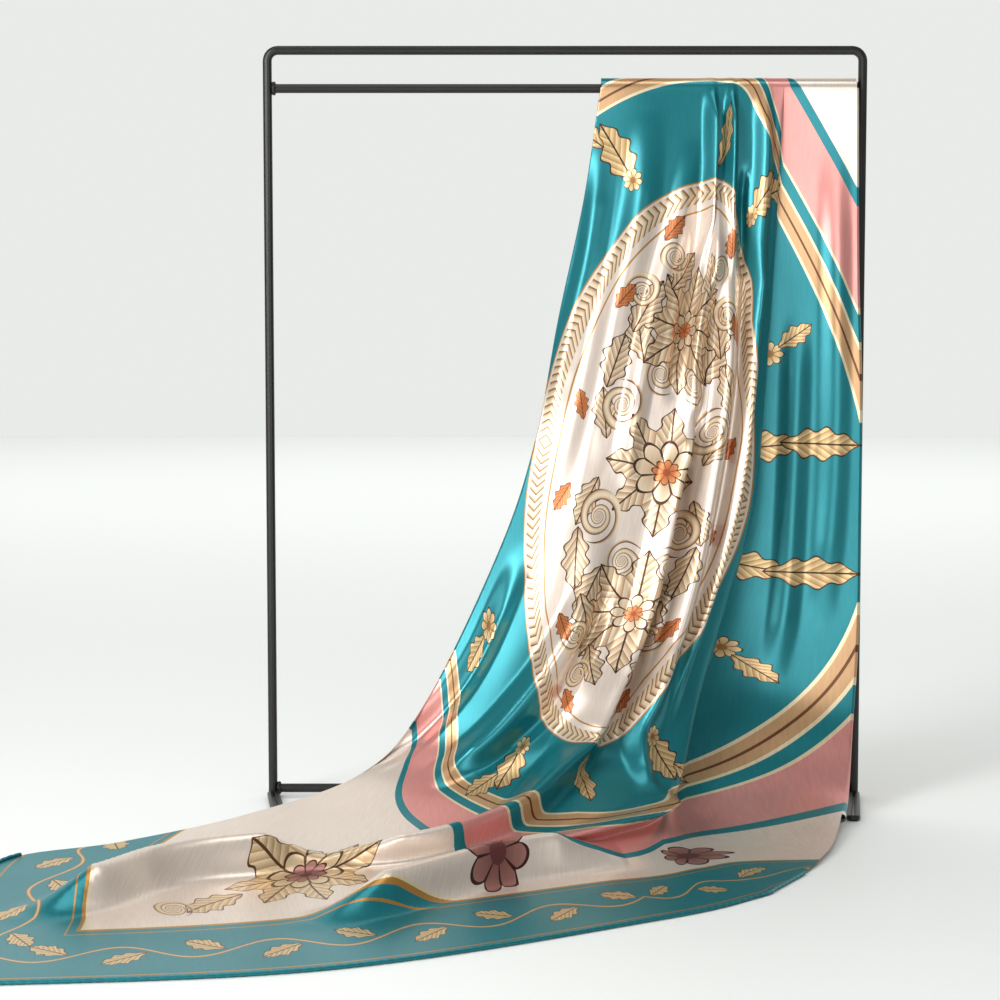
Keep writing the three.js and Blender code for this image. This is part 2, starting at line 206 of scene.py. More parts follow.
# Columns: x, y, z of the cloth, then u from the cut's left side and v from its top.
LEFT_EDGE = [
    (24, -6.9, 475, 350, 216), (13, -10, 402, 350, 290), (-4, -22, 323, 350, 370),
    (-19, -40, 245, 350, 450), (-42, -62, 176, 335, 520), (-89, -92, 81, 258, 582),
    (-130, -106, 37, 196, 598), (-200, -146, 19, 120, 612), (-272, -187, 11, 50, 640),
    (-337, -226, 8, 0, 690), (-342, -345, 2, 0, 796), (-344, -462, 0.6, 0, 900),
]
LEFT_HALF = [
    (66, -6.9, 475, 394, 206), (51, -21, 391, 394, 290), (33, -38, 313, 394, 370),
    (16, -57, 236, 394, 450), (-5, -82, 161, 388, 524), (-38, -104, 86, 356, 594),
    (-68, -122, 44, 324, 630), (-96, -158, 22, 285, 668), (-128, -212, 10, 245, 712),
    (-155, -268, 4, 225, 762), (-146, -350, 2, 225, 832), (-134, -430, 0.6, 225, 900),
]
CENTRE = [
    (108, -6.9, 475, 438, 196), (88, -22, 379, 438, 290), (68, -42, 304, 438, 370),
    (51, -60, 228, 438, 450), (33, -82, 152, 438, 530), (14, -101, 92, 438, 600),
    (2, -118, 53, 438, 648), (4, -158, 29, 438, 697), (10, -202, 14, 438, 748),
    (20, -236, 4, 438, 800), (31, -280, 2, 440, 850), (44, -330, 0.6, 442, 900),
]
COLUMN_EDGE = [
    (141, -6.9, 475, 548, 186), (135, -21, 365, 550, 290), (128, -34, 280, 550, 370),
    (120, -45, 205, 550, 450), (102, -59, 140, 550, 530), (83, -79, 82, 550, 598),
    (71, -104, 42, 548, 646), (60, -146, 22, 544, 697), (56, -184, 11, 540, 748),
    (68, -212, 4, 536, 800), (84, -246, 2, 534, 850), (103, -281, 0.6, 532, 900),
]
VALLEY = [
    (149, -6.9, 475, 575, 181), (139, -8.5, 360, 576, 290), (132, -10, 275, 576, 370),
    (125, -14, 198, 576, 450), (107, -24, 128, 576, 530), (89, -45, 70, 576, 597),
    (79, -78, 34, 574, 645), (77, -121, 13, 570, 697), (88, -158, 5, 566, 748),
    (98, -192, 3, 562, 800), (106, -226, 2, 560, 850), (116, -262, 0.6, 558, 900),
]
RIGHT_FOLD = [
    (192.4, -6.9, 475, 627, 171), (193.5, -10, 356, 627, 290), (196, -12, 276, 627, 370),
    (196, -13, 196, 627, 450), (195, -18, 117, 626, 530), (190, -30, 52, 624, 597),
    (183, -64, 20, 620, 645), (173, -112, 8, 614, 697), (162, -160, 4, 608, 748),
    (152, -190, 3, 602, 800), (143, -211, 2, 598, 850), (136, -226, 0.6, 594, 900),
]
GUIDES = np.array([LEFT_EDGE, LEFT_HALF, CENTRE, COLUMN_EDGE, VALLEY, RIGHT_FOLD], dtype=float)
SHARES = np.array([0, 0.25, 0.5, 0.72, 0.8, 1])  # where each guide lies across the front
STATIONS = GUIDES.shape[1] - 1


def along(rows, at):
    """A smooth cubic through evenly numbered rows, read at the fractional rows at."""
    first, last = 2 * rows[:1] - rows[1:2], 2 * rows[-1:] - rows[-2:-1]
    padded = np.concatenate([first, rows, last])
    k = np.clip(np.floor(at).astype(int), 0, len(rows) - 2)
    f = (at - k).reshape(-1, *([1] * (rows.ndim - 1)))
    before, here, ahead, after = padded[k], padded[k + 1], padded[k + 2], padded[k + 3]
    slope_in, slope_out, step = (ahead - before) / 2, (after - here) / 2, ahead - here
    bend = 3 * step - 2 * slope_in - slope_out
    twist = slope_in + slope_out - 2 * step
    return here + f * (slope_in + f * (bend + f * twist))


def front_sheet(stations, shares):
    """The smooth front of the cloth: x, y, z, u, v in rows down it and columns across."""
    guides = np.stack([along(guide, stations) for guide in GUIDES])
    k = np.clip(np.searchsorted(SHARES, shares) - 1, 0, len(SHARES) - 2)
    at = k + (shares - SHARES[k]) / (SHARES[k + 1] - SHARES[k])
    return along(guides, at).transpose(1, 0, 2)


def normals_of(grid):
    """Unit normals of a grid of points, towards the viewer on the hanging front."""
    down, across = np.gradient(grid, axis=0), np.gradient(grid, axis=1)
    normal = np.cross(down, across)
    return normal / np.maximum(np.linalg.norm(normal, axis=2, keepdims=True), 1e-9)


# The folds, each laid along a path on the cloth. Left and right are its half widths on
# either side as one walks down the path, rise is its height (a trough where below zero), and lean
# is how far its crest hangs over to the right. Path columns: x and z as seen from the front.
HANGING_FOLDS = [
    {"left": 8, "right": 4, "rise": 8, "lean": 3, "path": [(97, 480), (97, 440), (95, 405), (92, 360)]},
    {"left": 6, "right": 4, "rise": 9, "lean": 2, "path": [(110, 480), (110, 440), (108, 400), (109, 350)]},
    {"left": 4, "right": 4, "rise": -5, "lean": 0, "path": [(118, 420), (117, 400), (116, 375), (114, 350)]},
    {"left": 9, "right": 8, "rise": 6, "lean": 2, "path": [(130, 480), (131, 430), (127, 370), (124, 320)]},
    {"left": 8, "right": 7, "rise": 11, "lean": -2,
     "path": [(101, 425), (99, 358), (91, 330), (86, 302), (80, 262)]},
    {"left": 7, "right": 5, "rise": -8, "lean": 0,
     "path": [(90, 400), (83, 353), (77, 325), (73, 300), (69, 275)]},
    {"left": 12, "right": 7, "rise": 13, "lean": 5,
     "path": [(84, 285), (76, 245), (67, 214), (57, 172), (47, 134), (30, 96), (14, 66)]},
    {"left": 6, "right": 7, "rise": -13, "lean": 0,
     "path": [(84, 262), (77, 216), (67, 167), (57, 143), (43, 98), (28, 61)]},
    {"left": 11, "right": 10, "rise": 11, "lean": 0,
     "path": [(106, 396), (107, 336), (104, 284), (98, 246), (92, 207), (84, 168), (73, 131), (58, 84),
              (48, 44)]},
    {"left": 5, "right": 5, "rise": -6, "lean": 0,
     "path": [(118, 390), (117, 335), (113, 283), (108, 244), (101, 200), (91, 160), (78, 122), (64, 84)]},
    {"left": 7, "right": 7, "rise": 7, "lean": 2,
     "path": [(126, 372), (124, 330), (120, 280), (114, 232), (105, 190), (92, 148), (77, 108), (63, 66)]},
    {"left": 12, "right": 12, "rise": 4, "lean": 0, "path": [(25, 440), (16, 368), (4, 317), (-10, 250)]},
    {"left": 16, "right": 14, "rise": 4.5, "lean": 0,
     "path": [(57, 460), (50, 393), (36, 335), (22, 271), (4, 200)]},
    {"left": 12, "right": 10, "rise": 4.5, "lean": 0,
     "path": [(86, 440), (76, 392), (60, 335), (48, 280), (36, 215)]},
    {"left": 16, "right": 11, "rise": 8, "lean": 0,
     "path": [(24, 190), (10, 140), (-8, 108), (-25, 86), (-45, 64), (-62, 50), (-88, 34)]},
    {"left": 12, "right": 12, "rise": -6, "lean": 0,
     "path": [(-30, 170), (-44, 136), (-58, 108), (-75, 82), (-98, 60), (-125, 44)]},
    {"left": 8, "right": 8, "rise": -7, "lean": 0,
     "path": [(30, 160), (18, 126), (4, 100), (-12, 78), (-34, 58), (-60, 40)]},
    {"left": 13, "right": 8, "rise": 7, "lean": 0,
     "path": [(66, 116), (54, 84), (46, 62), (46, 44), (53, 28)]},
    {"left": 14, "right": 12, "rise": 4, "lean": 0,
     "path": [(156, 330), (154, 270), (152, 204), (148, 136), (138, 86)]},
    {"left": 14, "right": 12, "rise": 3.5, "lean": 0,
     "path": [(178, 440), (180, 330), (179, 216), (172, 120)]},
]
# The train's folds, their paths as x and y seen from above, walked from right to left.
TRAIN_FOLDS = [
    {"left": 20, "right": 13, "rise": 17, "lean": 8,
     "path": [(28, -95), (16, -105), (4, -120), (-12, -143), (-30, -168), (-56, -192), (-88, -212),
              (-124, -226), (-165, -234)]},
    {"left": 24, "right": 22, "rise": 22, "lean": 3,
     "path": [(-150, -222), (-184, -232), (-216, -244), (-244, -266), (-270, -297), (-300, -330)]},
    {"left": 24, "right": 20, "rise": 22, "lean": 3,
     "path": [(30, -215), (-7, -226), (-31, -236), (-55, -253), (-83, -284), (-110, -315), (-140, -345)]},
    {"left": 16, "right": 8, "rise": 11, "lean": 13,
     "path": [(62, -128), (54, -146), (38, -170), (14, -192), (-14, -206), (-40, -212)]},
]


def on_sheet(sheet, path, seen):
    """The path's points moved onto the sheet, matched in the two columns of its places seen."""
    places = sheet[..., seen].reshape(-1, 2)
    nearest = [int(np.argmin(((places - np.array(point)) ** 2).sum(axis=1))) for point in path]
    return sheet[..., :3].reshape(-1, 3)[nearest]


STEPS_TO_A_POINT = 4  # the path is rounded between its points in this many steps
FADE_RATE, FADE_START = 5, 0.05  # a fold dies away over the first and last fifth of its path


def fold_shift(grid, normal, fold, path):
    """How far one fold moves each point of the grid."""
    path = along(path, np.linspace(0, len(path) - 1, STEPS_TO_A_POINT * len(path)))
    best = np.full(grid.shape[:2], np.inf)
    bump_at, side_at = np.zeros(grid.shape[:2]), np.zeros(grid.shape)
    for i in range(len(path) - 1):
        span = path[i + 1] - path[i]
        f = np.clip(((grid - path[i]) @ span) / max(span @ span, 1e-9), 0, 1)
        offset = grid - (path[i] + f[..., None] * span)
        gap = np.linalg.norm(offset, axis=2)
        rightward = np.cross(normal, span)
        rightward /= np.maximum(np.linalg.norm(rightward, axis=2, keepdims=True), 1e-9)
        reach = np.where((offset * rightward).sum(axis=2) > 0, fold["right"], fold["left"])
        share = (i + f) / (len(path) - 1)
        fade = np.clip(FADE_RATE * np.minimum(share, 1 - share) + FADE_START, 0, 1)
        bump = np.where(gap < reach, np.cos(np.pi / 2 * np.clip(gap / reach, 0, 1)) ** 2, 0) * fade
        closer = gap < best
        best = np.where(closer, gap, best)
        bump_at = np.where(closer, bump, bump_at)
        side_at = np.where(closer[..., None], rightward, side_at)
    return bump_at[..., None] * (fold["rise"] * normal + fold["lean"] * side_at)


# The outer layer: back hem, up the back, over the bar, down the front and out to the bottom hem.
FRONT_ROWS, BAR_ROWS, BACK_ROWS, COLUMNS = 280, 14, 26, 250
LAST_HANGING, FIRST_LYING = 7, 4.2  # the stations where each kind of fold finds its path
LYING_HEIGHT = 0.4  # the least height of the cloth's middle over the table
stations = np.linspace(0, STATIONS, FRONT_ROWS)
shares = np.linspace(0, 1, COLUMNS)
sheet = front_sheet(stations, shares)
front = sheet[..., :3].copy()
front_normal = normals_of(front)
shift = np.zeros_like(front)
for fold in HANGING_FOLDS:
    hanging = stations < LAST_HANGING
    path = on_sheet(sheet[hanging], fold["path"], [0, 2])
    shift += fold_shift(front, front_normal, fold, path)
for fold in TRAIN_FOLDS:
    lying = stations > FIRST_LYING
    path = on_sheet(sheet[lying], fold["path"], [0, 1])
    shift += fold_shift(front, front_normal, fold, path)
front += shift
front[..., 2] = np.maximum(front[..., 2], LYING_HEIGHT)

# Flat places: u follows the true length across each row, so the print runs into the pleats.
flat = sheet[..., 3:].copy()
step = np.linalg.norm(np.diff(front, axis=1), axis=2)
length = np.concatenate([np.zeros((FRONT_ROWS, 1)), np.cumsum(step, axis=1)], axis=1)
guide_columns = np.round(SHARES * (COLUMNS - 1)).astype(int)
for row in range(FRONT_ROWS):
    marks = length[row, guide_columns]
    flat[row, :, 0] = np.interp(length[row], marks, flat[row, guide_columns, 0])
    flat[row, :, 1] = np.interp(length[row], marks, flat[row, guide_columns, 1])

# Over the bar and down its back the layer keeps the pleats of the front, dying away.
top_lift = (shift[0] * front_normal[0]).sum(axis=1)
BACK_HEM_HEIGHTS = (277.0, 321.0)  # of the back fall's hem, at its left and right ends
PLEATS_GONE = 1.6  # turns: 0 is the front of the bar, 1 its back, 2 the back fall's hem
back_rows = []
back_flat = []
for turn in np.concatenate([np.linspace(2, 1, BACK_ROWS), np.linspace(1, 0, BAR_ROWS)[1:-1]]):
    x = sheet[0, :, 0] + shift[0, :, 0] * max(0, 1 - turn)
    radius = SADDLE + top_lift * max(0, 1 - turn / PLEATS_GONE)
    angle = math.pi * min(turn, 1)
    foot = np.interp(x, [x[0], x[-1]], BACK_HEM_HEIGHTS)
    fall = (HANG_BAR[1] - foot) * max(0, turn - 1)
    y = -radius * math.cos(angle)
    z = HANG_BAR[1] + radius * math.sin(angle) - fall
    back_rows.append(np.stack([x, y, z], axis=1))
    gone = fall + math.pi * SADDLE * min(turn, 1)
    back_flat.append(np.stack([flat[0, :, 0], flat[0, :, 1] - gone], axis=1))
outer = np.concatenate([np.array(back_rows), front])
outer_flat = np.concatenate([np.array(back_flat), flat])


def cloth_piece(name, grid, places, material):
    """A mesh of one layer of cloth, with its place in the flat square as its UV."""
    rows, cols = grid.shape[:2]
    index = np.arange(rows * cols).reshape(rows, cols)
    quads = np.stack([index[:-1, :-1], index[1:, :-1], index[1:, 1:], index[:-1, 1:]], axis=-1).reshape(-1, 4)
    mesh = bpy.data.meshes.new(name)
    mesh.from_pydata(to_model(grid.reshape(-1, 3)), [], quads.tolist())
    layer = mesh.uv_layers.new(name="cut")
    flat_uv = places.reshape(-1, 2) / CUT
    flat_uv[:, 1] = 1 - flat_uv[:, 1]
    layer.data.foreach_set("uv", flat_uv[quads.reshape(-1)].ravel())
    mesh.polygons.foreach_set("use_smooth", [True] * len(quads))
    mesh.materials.append(material)
    piece = bpy.data.objects.new(name, mesh)
    bpy.context.collection.objects.link(piece)
    return piece


# The printed satin. Silk satin is woven with long floats down the cloth, which lie flat and give it
# a broad, soft gloss in its own colour, strongest across the floats. The dye goes through the silk.
# The print is drawn in millimetres from the middle of the square and mirrored into its four quarters.
def stamp(name):
    """A motif 1 long at full size, as a group that gives a tone, dark at the outline, and a mask."""
    group = bpy.data.node_groups.new(name, "ShaderNodeTree")
    group.interface.new_socket("Place", in_out="INPUT", socket_type="NodeSocketVector")
    group.interface.new_socket("Tone", in_out="OUTPUT", socket_type="NodeSocketFloat")
    group.interface.new_socket("Mask", in_out="OUTPUT", socket_type="NodeSocketFloat")
    place = group.nodes.new("NodeGroupInput").outputs[0]
    return group, place, group.nodes.new("NodeGroupOutput")


def draw_leaf(tree, grown, side, out):
    """A lobed leaf with a midrib and veins; grown runs along it and side is the way off its midrib."""
    LOBE_WAVES, LOBE_DEPTH = 4, 0.18
    VEINS, VEIN_SLANT = 7.0, -9.0
    MIDRIB_HALF = 0.014
    swell = add(tree, "Math", {"operation": "MULTIPLY_ADD"}, {0: grown, 1: -1.0, 2: 1.0})
    swell = add(tree, "Math", {"operation": "MULTIPLY"}, {0: swell, 1: grown})
    lobe_turn = add(tree, "Math", {"operation": "MULTIPLY"}, {0: grown, 1: 2 * math.pi * LOBE_WAVES})
    lobe = add(tree, "Math", {"operation": "SINE"}, {0: lobe_turn})
    width = add(tree, "Math", {"operation": "MULTIPLY_ADD"}, {0: lobe, 1: LOBE_DEPTH, 2: 1.0})
    width = add(tree, "Math", {"operation": "MULTIPLY"}, {0: width, 1: swell})
    mask = add(tree, "Math", {"operation": "LESS_THAN"}, {0: side, 1: width})
    vein_turn = add(tree, "Math", {"operation": "MULTIPLY"}, {0: grown, 1: VEINS})
    vein = add(tree, "Math", {"operation": "MULTIPLY_ADD"}, {0: side, 1: VEIN_SLANT, 2: vein_turn})
    vein = add(tree, "Math", {"operation": "FRACT"}, {0: vein})
    tone = add(tree, "Math", {"operation": "MULTIPLY_ADD"}, {0: vein, 1: 0.5, 2: 0.5})
    rib = add(tree, "Math", {"operation": "GREATER_THAN"}, {0: side, 1: MIDRIB_HALF})
    tone = add(tree, "Math", {"operation": "MULTIPLY"}, {0: tone, 1: rib})
    rim = add(tree, "Math", {"operation": "MULTIPLY_ADD"}, {0: width, 1: 0.97, 2: -0.02})
    rim = add(tree, "Math", {"operation": "LESS_THAN"}, {0: side, 1: rim})
    tone = add(tree, "Math", {"operation": "MULTIPLY"}, {0: tone, 1: rim})
    tree.links.new(tone.outputs[0], out.inputs[0])
    tree.links.new(mask.outputs[0], out.inputs[1])


leaf, place, out = stamp("leaf")
xy = add(leaf, "SeparateXYZ", {}, {0: place})
off_midrib = add(leaf, "Math", {"operation": "ABSOLUTE"}, {0: xy.outputs[1]})
draw_leaf(leaf, xy.outputs[0], off_midrib, out)

leaf_star, place, out = stamp("leaf_star")
xy = add(leaf_star, "SeparateXYZ", {}, {0: place})
radius = add(leaf_star, "VectorMath", {"operation": "LENGTH"}, {0: place}).outputs["Value"]
turn = add(leaf_star, "Math", {"operation": "ARCTAN2"}, {0: xy.outputs[1], 1: xy.outputs[0]})
LEAVES_IN_STAR = 8
turn = add(leaf_star, "Math", {"operation": "PINGPONG"}, {0: turn, 1: math.pi / LEAVES_IN_STAR})
off_midrib = add(leaf_star, "Math", {"operation": "MULTIPLY"}, {0: radius, 1: turn})
draw_leaf(leaf_star, radius, off_midrib, out)

COIL_TIGHTNESS, COIL_HALF_STROKE = 1.15, 0.31
scroll, place, out = stamp("scroll")
xy = add(scroll, "SeparateXYZ", {}, {0: place})
radius = add(scroll, "VectorMath", {"operation": "LENGTH"}, {0: place}).outputs["Value"]
turn = add(scroll, "Math", {"operation": "ARCTAN2"}, {0: xy.outputs[1], 1: xy.outputs[0]})
turn = add(scroll, "Math", {"operation": "DIVIDE"}, {0: turn, 1: 2 * math.pi})
coil = add(scroll, "Math", {"operation": "LOGARITHM"}, {0: radius, 1: math.e})
coil = add(scroll, "Math", {"operation": "MULTIPLY_ADD"}, {0: coil, 1: COIL_TIGHTNESS, 2: turn})
coil = add(scroll, "Math", {"operation": "FRACT"}, {0: coil})
coil = add(scroll, "Math", {"operation": "SUBTRACT"}, {0: coil, 1: 0.5})
coil = add(scroll, "Math", {"operation": "ABSOLUTE"}, {0: coil})
stroke = add(scroll, "Math", {"operation": "DIVIDE"}, {0: coil, 1: COIL_HALF_STROKE})
on_stroke = add(scroll, "Math", {"operation": "LESS_THAN"}, {0: stroke, 1: 1.0})
within = add(scroll, "Math", {"operation": "LESS_THAN"}, {0: radius, 1: 1.0})
mask = add(scroll, "Math", {"operation": "MULTIPLY"}, {0: on_stroke, 1: within})
tone = add(scroll, "Math", {"operation": "POWER"}, {0: stroke, 1: 2.5})
tone = add(scroll, "Math", {"operation": "SUBTRACT"}, {0: 0.95, 1: tone})
scroll.links.new(tone.outputs[0], out.inputs[0])
scroll.links.new(mask.outputs[0], out.inputs[1])

PETALS = 8
HEART_RADIUS, HEART_TONE = 0.27, 0.35
PETAL_LENGTH = (0.7, 0.3)  # of the notch between two petals, and what a petal's middle adds
flower, place, out = stamp("flower")
xy = add(flower, "SeparateXYZ", {}, {0: place})
radius = add(flower, "VectorMath", {"operation": "LENGTH"}, {0: place}).outputs["Value"]
turn = add(flower, "Math", {"operation": "ARCTAN2"}, {0: xy.outputs[1], 1: xy.outputs[0]})
turn = add(flower, "Math", {"operation": "MULTIPLY"}, {0: turn, 1: PETALS / 2})
petal = add(flower, "Math", {"operation": "COSINE"}, {0: turn})
petal = add(flower, "Math", {"operation": "ABSOLUTE"}, {0: petal})
reach = add(flower, "Math", {"operation": "MULTIPLY_ADD"}, {0: petal, 1: PETAL_LENGTH[1], 2: PETAL_LENGTH[0]})
edge = add(flower, "Math", {"operation": "DIVIDE"}, {0: radius, 1: reach})
mask = add(flower, "Math", {"operation": "LESS_THAN"}, {0: edge, 1: 1.0})
tone = add(flower, "Math", {"operation": "MULTIPLY_ADD"}, {0: radius, 1: 0.45, 2: 0.5})
crease = add(flower, "Math", {"operation": "GREATER_THAN"}, {0: petal, 1: 0.22})
tone = add(flower, "Math", {"operation": "MULTIPLY"}, {0: tone, 1: crease})
heart = add(flower, "Math", {"operation": "LESS_THAN"}, {0: radius, 1: HEART_RADIUS})
tone = add(flower, "Mix", {"data_type": "FLOAT"}, {0: heart, 2: tone, 3: HEART_TONE})
rim = add(flower, "Math", {"operation": "LESS_THAN"}, {0: edge, 1: 0.9})
tone = add(flower, "Math", {"operation": "MULTIPLY"}, {0: tone, 1: rim})
flower.links.new(tone.outputs[0], out.inputs[0])
flower.links.new(mask.outputs[0], out.inputs[1])

satin, tree = new_material("printed_silk_satin")
cut = add(tree, "UVMap", {"uv_map": "cut"}, {})
from_middle = add(tree, "VectorMath", {"operation": "MULTIPLY_ADD"},
                  {0: cut, 1: (CUT, CUT, 0), 2: (-CUT / 2, -CUT / 2, 0)})
quadrant = add(tree, "VectorMath", {"operation": "ABSOLUTE"}, {0: from_middle})
sides = add(tree, "SeparateXYZ", {}, {0: quadrant})
RING_WIDTH = 1.42  # the rings are this much taller than wide
ring_space = add(tree, "VectorMath", {"operation": "MULTIPLY"}, {0: quadrant, 1: (RING_WIDTH, 1, 0)})
ring = add(tree, "VectorMath", {"operation": "LENGTH"}, {0: ring_space}).outputs["Value"]
OVAL_HALF_WIDTH, OVAL_HALF_HEIGHT = 101.0, 197.0
oval_space = add(tree, "VectorMath", {"operation": "DIVIDE"},
                 {0: quadrant, 1: (OVAL_HALF_WIDTH, OVAL_HALF_HEIGHT, 1)})
oval = add(tree, "VectorMath", {"operation": "LENGTH"}, {0: oval_space}).outputs["Value"]
slope_space = add(tree, "VectorMath", {"operation": "DIVIDE"},
                  {0: oval_space, 1: (OVAL_HALF_WIDTH, OVAL_HALF_HEIGHT, 1)})
slope = add(tree, "VectorMath", {"operation": "LENGTH"}, {0: slope_space}).outputs["Value"]
beyond = add(tree, "Math", {"operation": "SUBTRACT"}, {0: oval, 1: 1.0})
beyond = add(tree, "Math", {"operation": "MULTIPLY"}, {0: beyond, 1: oval})
from_oval = add(tree, "Math", {"operation": "DIVIDE"}, {0: beyond, 1: slope})  # mm out from the oval's edge
frame_reach = add(tree, "Math", {"operation": "MAXIMUM"}, {0: sides.outputs[0], 1: sides.outputs[1]})
frame_along = add(tree, "Math", {"operation": "MINIMUM"}, {0: sides.outputs[0], 1: sides.outputs[1]})

TEAL, PINK, CREAM, TAN = "#1E7F88", "#E09891", "#E7D8CB", "#C9A075"
GOLD, PALE_GOLD, BROWN = "#B7853F", "#EBD9B4", "#6B4226"
# Grounds from the outside in. Columns: what is measured, its outer size in mm, colour.
GROUNDS = [
    (ring, 330, TEAL), (ring, 322, PINK), (ring, 285, PALE_GOLD), (ring, 283, TEAL), (ring, 275, PALE_GOLD),
    (ring, 273, TAN), (ring, 267.2, BROWN), (ring, 265.6, TAN), (ring, 260, PALE_GOLD), (ring, 258, TEAL),
    (from_oval, 0, GOLD), (from_oval, -0.9, CREAM), (from_oval, -18, GOLD), (from_oval, -19.2, CREAM),
]
colour = linear(CREAM)
for measured, outer_size, ground in GROUNDS:
    inside = add(tree, "Math", {"operation": "LESS_THAN"}, {0: measured, 1: outer_size})
    colour = add(tree, "Mix", {"data_type": "RGBA"}, {0: inside, 6: colour, 7: linear(ground)}).outputs[2]
# The border's grounds from the inside out. Columns: where each begins in mm, colour.
BORDER_GROUNDS = [
    (364, PALE_GOLD), (365.5, GOLD), (368, TEAL), (373, GOLD), (374.2, TEAL), (441, GOLD), (442.4, TEAL),
]
for reach, ground in BORDER_GROUNDS:
    inside = add(tree, "Math", {"operation": "GREATER_THAN"}, {0: frame_reach, 1: reach})
    colour = add(tree, "Mix", {"data_type": "RGBA"}, {0: inside, 6: colour, 7: linear(ground)}).outputs[2]

# The oval's edge is a garland of overlapping laurel leaves, 11 mm wide, one to each 5.5 mm.
GARLAND_INSET, GARLAND_HALF_WIDTH, GARLAND_LEAF, GARLAND_SWEEP = 8.0, 5.6, 5.5, 0.9
OVAL_RADIUS = 153.0  # the mean, for the garland's length round the oval
around = add(tree, "SeparateXYZ", {}, {0: oval_space})
around = add(tree, "Math", {"operation": "ARCTAN2"}, {0: around.outputs[1], 1: around.outputs[0]})
garland = add(tree, "Math", {"operation": "MULTIPLY"}, {0: around, 1: OVAL_RADIUS})
for harmonic, share in ((2, 24.0), (4, -1.0)):  # turns the angle into length along the oval
    wave = add(tree, "Math", {"operation": "MULTIPLY"}, {0: around, 1: harmonic})
    wave = add(tree, "Math", {"operation": "SINE"}, {0: wave})
    garland = add(tree, "Math", {"operation": "MULTIPLY_ADD"}, {0: wave, 1: share, 2: garland})
across = add(tree, "Math", {"operation": "ADD"}, {0: from_oval, 1: GARLAND_INSET})
across = add(tree, "Math", {"operation": "ABSOLUTE"}, {0: across})
swept = add(tree, "Math", {"operation": "MULTIPLY_ADD"}, {0: across, 1: GARLAND_SWEEP, 2: garland})
swept = add(tree, "Math", {"operation": "DIVIDE"}, {0: swept, 1: GARLAND_LEAF})
swept = add(tree, "Math", {"operation": "FRACT"}, {0: swept})
garland_mask = add(tree, "Math", {"operation": "LESS_THAN"}, {0: across, 1: GARLAND_HALF_WIDTH})

# Stamps. Columns: stamp, x and y from the middle, size in mm, turn in degrees.
GILT = [
    (leaf_star, 0, 0, 44, 0), (flower, 0, 0, 22, 0), (leaf, 46, 12, 34, 72), (scroll, 40, 36, 17, 0),
    (leaf, 54, 44, 40, 98), (scroll, 15, 62, 14, 150), (leaf, 30, 66, 40, 66), (leaf_star, 0, 96, 44, 0),
    (leaf, 44, 84, 40, 108), (scroll, 44, 112, 13, 210), (leaf, 24, 118, 34, 112), (scroll, 28, 140, 11, 60),
    (flower, 0, 96, 14, 0),
]
COPPER = [
    (flower, 0, 0, 9, 0), (leaf, 66, 20, 22, 66), (leaf, 60, 96, 22, 118), (leaf, 38, 148, 22, 118),
    (flower, 0, 96, 6, 0),
]
FIELD = [
    (leaf, 108, 40, 40, 8), (leaf, 136, 46, 42, -4), (leaf, 66, 178, 46, 46), (leaf, 92, 196, 34, 22),
    (flower, 68, 180, 8, 0), (leaf, 0, 204, 42, 90), (flower, 128, 104, 8, 0), (leaf, 132, 108, 24, 40),
]
CORNER = [
    (leaf_star, 228, 292, 50, 20), (flower, 228, 292, 24, 0), (leaf, 262, 318, 46, 36),
    (scroll, 306, 338, 13, 40), (leaf, 262, 262, 30, -40),
]
ROSETTE = [(flower, 92, 335, 24, 0), (flower, 228, 292, 13, 0)]
# Columns: stamps, outline, body and highlight colours.
INKS = [
    (GILT, "#4A2C1A", "#A87A4E", "#F0DFC2"), (COPPER, "#5A2C18", "#A9542B", "#D68A54"),
    (FIELD, "#3F2A1A", "#A8763F", "#E8CF9C"), (CORNER, "#5D3B22", "#B98A58", "#EBD9B4"),
    (ROSETTE, "#3E201F", "#7C4744", "#B98478"),
]

# The border has a waving vine with one leaf to each 45 mm, 30 mm long and turned out to either side.
LEAF_EVERY, LEAF_LENGTH, LEAF_TURN, LEAF_START = 45.0, 30.0, -34, 6.0
VINE_MIDDLE, VINE_SWING, STEM_HALF_WIDTH = 407.0, 10.0, 1.5
BORDER_INSIDE = 376.0
cell = add(tree, "Math", {"operation": "DIVIDE"}, {0: frame_along, 1: LEAF_EVERY})
cell_place = add(tree, "Math", {"operation": "FRACT"}, {0: cell})
cell_place = add(tree, "Math", {"operation": "MULTIPLY_ADD"}, {0: cell_place, 1: LEAF_EVERY, 2: -LEAF_START})
vine_turn = add(tree, "Math", {"operation": "MULTIPLY"}, {0: cell, 1: math.pi})
vine_wave = add(tree, "Math", {"operation": "SINE"}, {0: vine_turn})
vine_line = add(tree, "Math", {"operation": "MULTIPLY_ADD"}, {0: vine_wave, 1: VINE_SWING, 2: VINE_MIDDLE})
from_vine = add(tree, "Math", {"operation": "SUBTRACT"}, {0: frame_reach, 1: vine_line})
vine_side = add(tree, "Math", {"operation": "SIGN"}, {0: vine_wave})
leaf_across = add(tree, "Math", {"operation": "SUBTRACT"}, {0: frame_reach, 1: VINE_MIDDLE})
leaf_across = add(tree, "Math", {"operation": "MULTIPLY"}, {0: leaf_across, 1: vine_side})
leaf_across = add(tree, "Math", {"operation": "MULTIPLY"}, {0: leaf_across, 1: -1.0})
leaf_place = add(tree, "CombineXYZ", {}, {0: cell_place, 1: leaf_across, 2: 0.0})
leaf_place = add(tree, "VectorRotate", {"rotation_type": "Z_AXIS"},
                 {0: leaf_place, "Angle": math.radians(LEAF_TURN)})
leaf_place = add(tree, "VectorMath", {"operation": "SCALE"}, {0: leaf_place, "Scale": 1 / LEAF_LENGTH})
border_leaf = tree.nodes.new("ShaderNodeGroup")
border_leaf.node_tree = leaf
